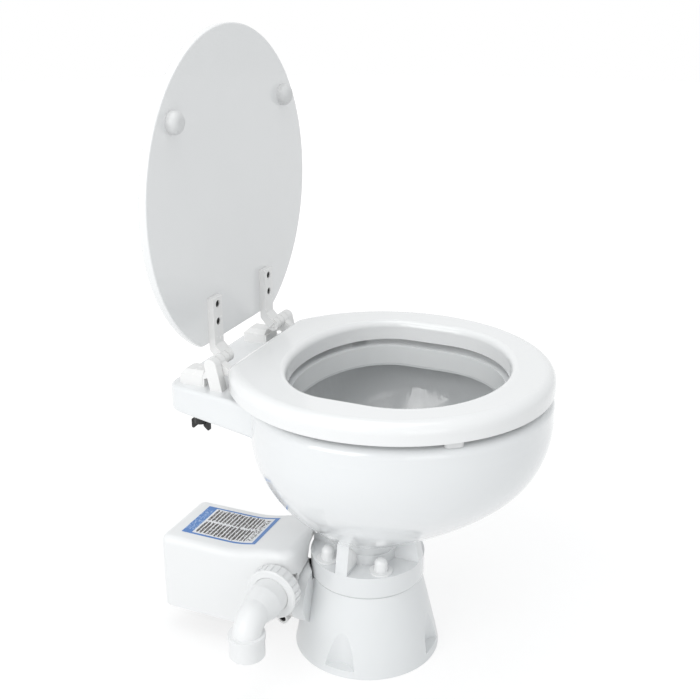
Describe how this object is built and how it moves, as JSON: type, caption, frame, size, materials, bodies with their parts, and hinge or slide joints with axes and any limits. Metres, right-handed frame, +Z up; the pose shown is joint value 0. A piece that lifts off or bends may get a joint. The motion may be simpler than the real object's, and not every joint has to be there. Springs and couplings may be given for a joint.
{
  "type": "electric marine toilet",
  "caption": "Compact boat toilet: china bowl with hinged seat and lid on a moulded pedestal, with a macerator pump and motor under a side hood and a swivelling discharge elbow",
  "frame": {"origin": "centre of the four floor screws, on the floor, under the centre of the pedestal", "axes": "+Z up, -Y the front of the bowl, -X the side with the motor hood's discharge elbow"},
  "size_m": [0.3379, 0.4224, 0.68],
  "materials": {
    "china": "glossy vitreous glaze",
    "pedestal_plastic": "satin moulded",
    "seat_enamel": "baked enamel gloss",
    "hinge_plastic": "gloss moulded",
    "bumper_plastic": "soft matt",
    "cover_plastic": "satin moulded",
    "label_print": "printed film, bare ruled bars",
    "discharge_plastic": "satin moulded",
    "nut_plastic": "gloss moulded",
    "wing_plastic": "black moulded",
    "pump_plastic": "glass-filled moulded",
    "rubber": "matt",
    "steel": "stainless",
    "screw_dark": "blackened",
    "motor_paint": "satin black paint",
    "laminated_iron": "dull",
    "copper": "lacquered copper",
    "carbon": "carbon"
  },
  "bodies": {
    "root": {"base": "pedestal_plastic", "bowl": "china", "bowl_bolts": "steel", "bowl_cap_nuts": "nut_plastic", "bowl_gasket": "rubber", "bowl_washers": "nut_plastic", "brush_holder": "pump_plastic", "brushes": "carbon", "cable_grommet": "rubber", "cover_label": "label_print", "cover_screws": "steel", "discharge_ring_nut": "discharge_plastic", "drain_screw": "steel", "hinge_bolts": "steel", "hinge_cap_left": "hinge_plastic", "hinge_cap_right": "hinge_plastic", "hinge_pins": "steel", "hinge_post_left": "hinge_plastic", "hinge_post_right": "hinge_plastic", "hinge_washers": "rubber", "inlet_seal": "rubber", "inlet_spud": "pump_plastic", "intake_body": "pump_plastic", "joker_valve": "rubber", "macerator_housing": "pump_plastic", "motor_bearings": "steel", "motor_bracket": "pump_plastic", "motor_can": "motor_paint", "motor_cover": "cover_plastic", "motor_end_cap": "pump_plastic", "motor_magnets": "laminated_iron", "pump_gasket": "rubber", "pump_screws": "steel", "seal_plate": "pump_plastic", "shaft_seals": "rubber", "through_bolts": "steel", "wear_plate": "steel", "wing_nuts": "wing_plastic"},
    "seat": {"seat_ring": "seat_enamel", "seat_bumpers": "bumper_plastic", "seat_arm_left": "hinge_plastic", "seat_arm_right": "hinge_plastic", "seat_arm_screws": "steel"},
    "lid": {"lid": "seat_enamel", "lid_bumpers": "bumper_plastic", "lid_arm_left": "hinge_plastic", "lid_arm_right": "hinge_plastic", "lid_arm_screws": "screw_dark"},
    "rotor": {"motor_shaft": "steel", "chopper_blade": "steel", "discharge_impeller": "pump_plastic", "flexible_impeller": "rubber", "armature_core": "laminated_iron", "armature_windings": "copper", "commutator": "copper"},
    "elbow": {"discharge_elbow": "discharge_plastic"}
  },
  "joints": [
    {"name": "seat_hinge", "type": "hinge", "parent": "root", "child": "seat", "pos_m": [0, 0.14, 0.347], "axis": [-1, 0, 0], "range_deg": [0, 90]},
    {"name": "lid_hinge", "type": "hinge", "parent": "root", "child": "lid", "pos_m": [0, 0.14, 0.347], "axis": [1, 0, 0], "range_deg": [0, 90]},
    {"name": "motor_spin", "type": "hinge", "parent": "root", "child": "rotor", "pos_m": [-0.0345, 0.14, 0.068], "axis": [0, 1, 0], "continuous": true},
    {"name": "elbow_swivel", "type": "hinge", "parent": "root", "child": "elbow", "pos_m": [-0.1, 0.073, 0.095], "axis": [1, 0, 0], "range_deg": [-120, 120]}
  ]
}
